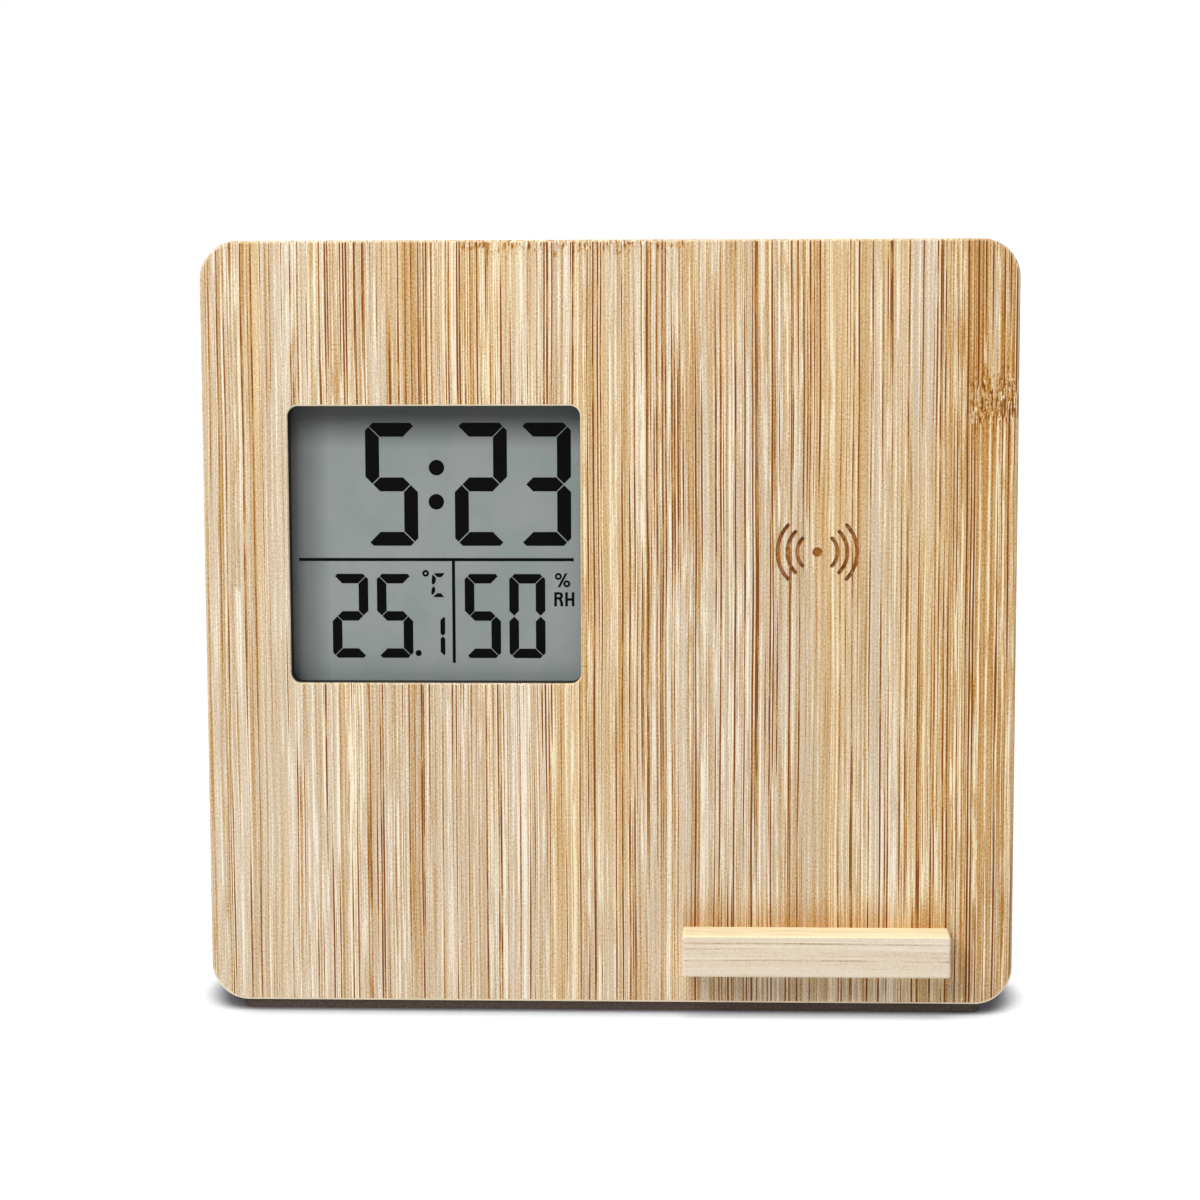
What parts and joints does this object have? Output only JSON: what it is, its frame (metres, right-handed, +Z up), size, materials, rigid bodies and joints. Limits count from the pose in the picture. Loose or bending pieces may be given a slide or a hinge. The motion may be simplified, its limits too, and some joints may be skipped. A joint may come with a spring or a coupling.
{
  "type": "desk clock",
  "caption": "Leaning bamboo desk clock with a recessed reflective display, a phone ledge below a wireless charging spot, and a rear leg that folds flat.",
  "frame": {"origin": "on the table, under the middle of the whole clock's box", "axes": "+X to the right as seen from the front, +Y from the front to the back, +Z up"},
  "size_m": [0.16, 0.0634, 0.1504],
  "materials": {
    "bamboo": "matt lacquered, vertical fine strips",
    "bamboo_dowel": "bare",
    "display": "reflective liquid crystal display behind a satin film",
    "black_plastic": "fine moulded texture",
    "key_plastic": "satin",
    "dark_rubber": "matt",
    "connector_rubber": "matt",
    "foam": "matt foam",
    "board": "solder mask",
    "chip": "matt",
    "ceramic_part": "matt",
    "ferrite": "matt",
    "copper": "enamelled winding",
    "steel": "plated"
  },
  "bodies": {
    "case": {"bamboo_case": "bamboo", "phone_ledge": "bamboo", "ledge_dowels": "bamboo_dowel", "lcd_panel": "display", "back_cover": "black_plastic", "lcd_frame": "black_plastic", "foot_strip": "dark_rubber", "zebra_strips": "connector_rubber", "display_gasket": "foam", "clock_board": "board", "charger_board": "board", "clock_chip": "chip", "charger_chip": "chip", "climate_sensor": "ceramic_part", "charger_inductor": "ferrite", "charger_capacitors": "ceramic_part", "ferrite_plate": "ferrite", "charge_coil": "copper", "coil_leads": "copper", "module_screws": "steel", "cover_screws": "steel", "charger_screws": "steel", "coin_cell": "steel", "battery_contact_minus": "steel", "battery_contact_plus": "steel", "usb_socket": "steel", "usb_tongue": "chip", "switch_bodies": "chip"},
    "leg": {"support_leg": "bamboo", "hinge_pins": "steel", "leg_pad": "dark_rubber"},
    "cap": {"battery_cap": "key_plastic"},
    "mode_key": {"mode_button": "key_plastic", "mode_plunger": "chip"},
    "up_key": {"up_button": "key_plastic", "up_plunger": "chip"},
    "down_key": {"down_button": "key_plastic", "down_plunger": "chip"},
    "unit_key": {"unit_button": "key_plastic", "unit_plunger": "chip"}
  },
  "joints": [
    {"name": "leg_fold", "type": "hinge", "parent": "case", "child": "leg", "pos_m": [0, 0.01493, 0.09591], "axis": [-1, 0, 0], "range_deg": [0, 20]},
    {"name": "cap_turn", "type": "hinge", "parent": "case", "child": "cap", "pos_m": [-0.046, -0.00429, 0.02953], "axis": [0, 0.9781, -0.2079], "range_deg": [0, 45]},
    {"name": "mode_press", "type": "slide", "parent": "case", "child": "mode_key", "axis": [0, -0.9781, 0.2079], "range_m": [0, 0.0005], "stiffness_N_per_m": 2000},
    {"name": "up_press", "type": "slide", "parent": "case", "child": "up_key", "axis": [0, -0.9781, 0.2079], "range_m": [0, 0.0005], "stiffness_N_per_m": 2000},
    {"name": "down_press", "type": "slide", "parent": "case", "child": "down_key", "axis": [0, -0.9781, 0.2079], "range_m": [0, 0.0005], "stiffness_N_per_m": 2000},
    {"name": "unit_press", "type": "slide", "parent": "case", "child": "unit_key", "axis": [0, -0.9781, 0.2079], "range_m": [0, 0.0005], "stiffness_N_per_m": 2000}
  ]
}
